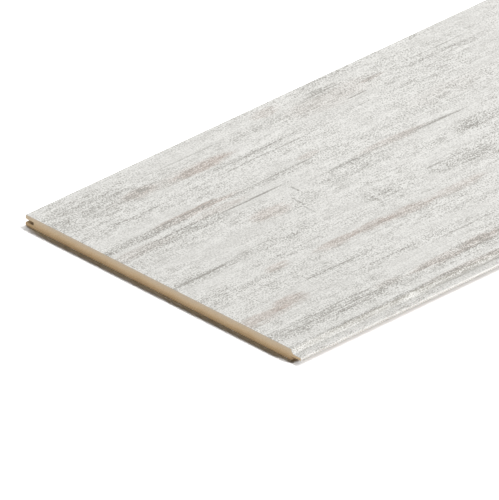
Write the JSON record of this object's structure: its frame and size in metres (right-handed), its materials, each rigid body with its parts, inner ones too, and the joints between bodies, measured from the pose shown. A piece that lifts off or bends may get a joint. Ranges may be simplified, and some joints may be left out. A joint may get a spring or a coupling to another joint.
{
  "type": "mdf wall panel",
  "caption": "Long flat tongue-and-groove wall panel of MDF with a whitewashed wood-print decor foil wrapped round its long edges.",
  "frame": {"origin": "middle of the overall width and length, on the back face that lies on the floor", "axes": "+Z out of the decor face, +Y along the length, +X across the width from the groove to the tongue"},
  "size_m": [0.2566, 2.6, 0.008],
  "materials": {
    "bare_mdf": "raw sawn and milled medium-density fibreboard, matt",
    "printed_foil": "printed decor foil, whitewashed old pine, satin"
  },
  "bodies": {
    "root": {"mdf_board": "bare_mdf", "decor_foil": "printed_foil"}
  },
  "joints": []
}
